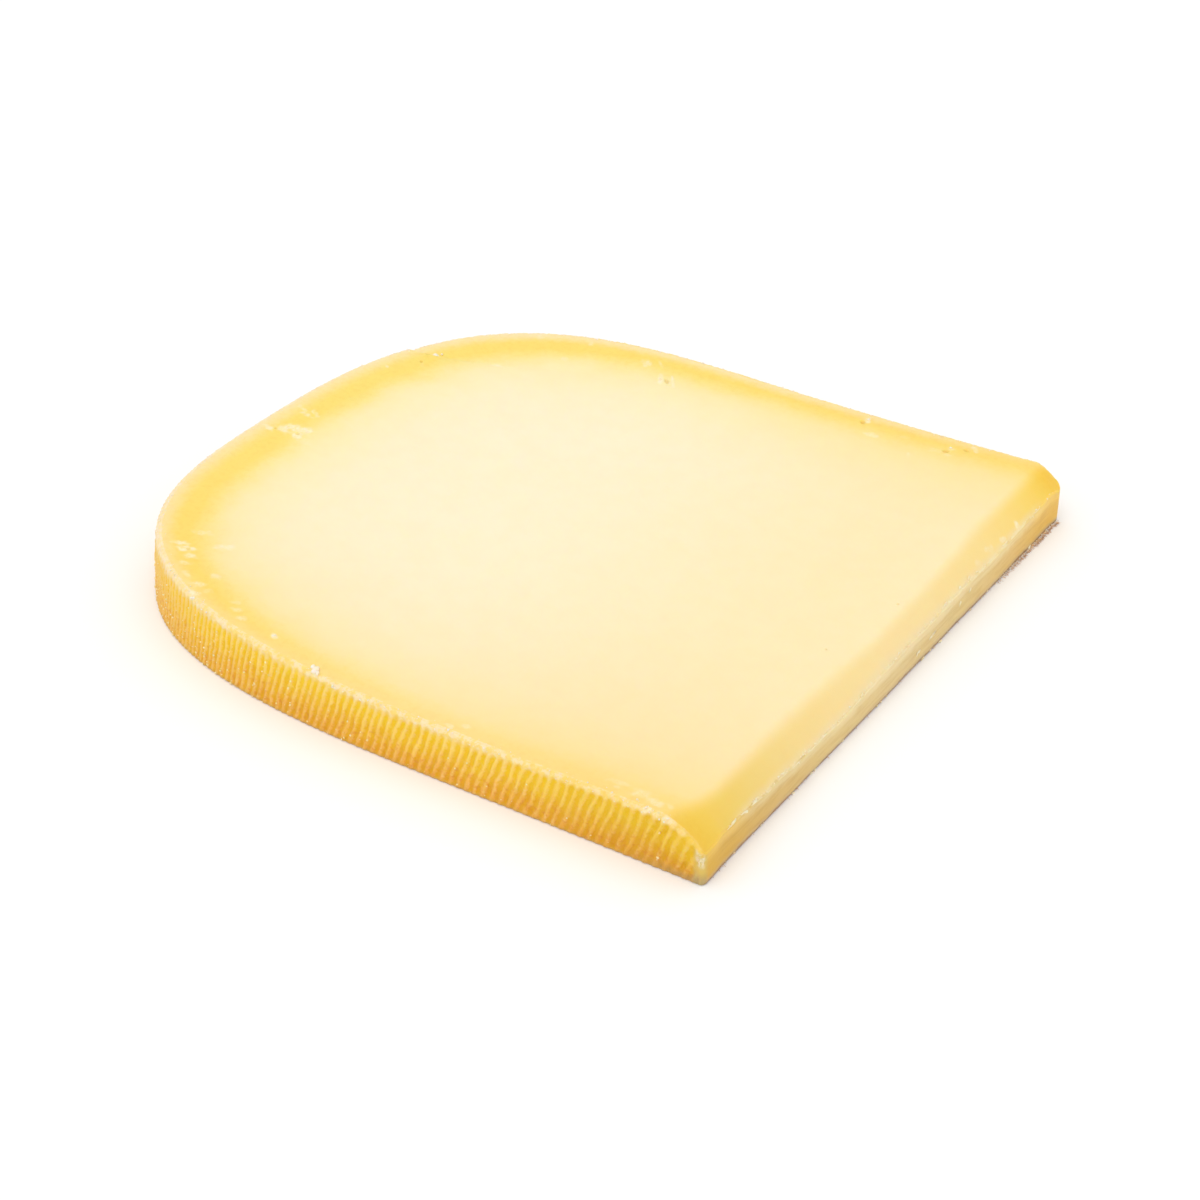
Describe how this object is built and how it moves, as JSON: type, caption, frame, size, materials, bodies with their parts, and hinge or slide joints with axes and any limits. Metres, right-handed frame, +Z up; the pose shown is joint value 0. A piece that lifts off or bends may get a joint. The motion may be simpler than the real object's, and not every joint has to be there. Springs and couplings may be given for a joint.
{
  "type": "cheese wedge",
  "caption": "Thin D-shaped slice of semi-hard cheese with a ridged yellow rind round its sides and rim, lying flat on its cut face.",
  "frame": {"origin": "middle of the slice's box, on the flat cut face that it rests on", "axes": "+Z up through the slice's thickness; +X from the round rim towards the thin cut end; +Y towards the wheel's far flat face"},
  "size_m": [0.1142, 0.11, 0.0119],
  "materials": {
    "cheese": "pale butter-yellow cut face with a soft waxy sheen, deepening to golden yellow at the ridged rind"
  },
  "bodies": {
    "root": {"cheese_wedge": "cheese"}
  },
  "joints": []
}
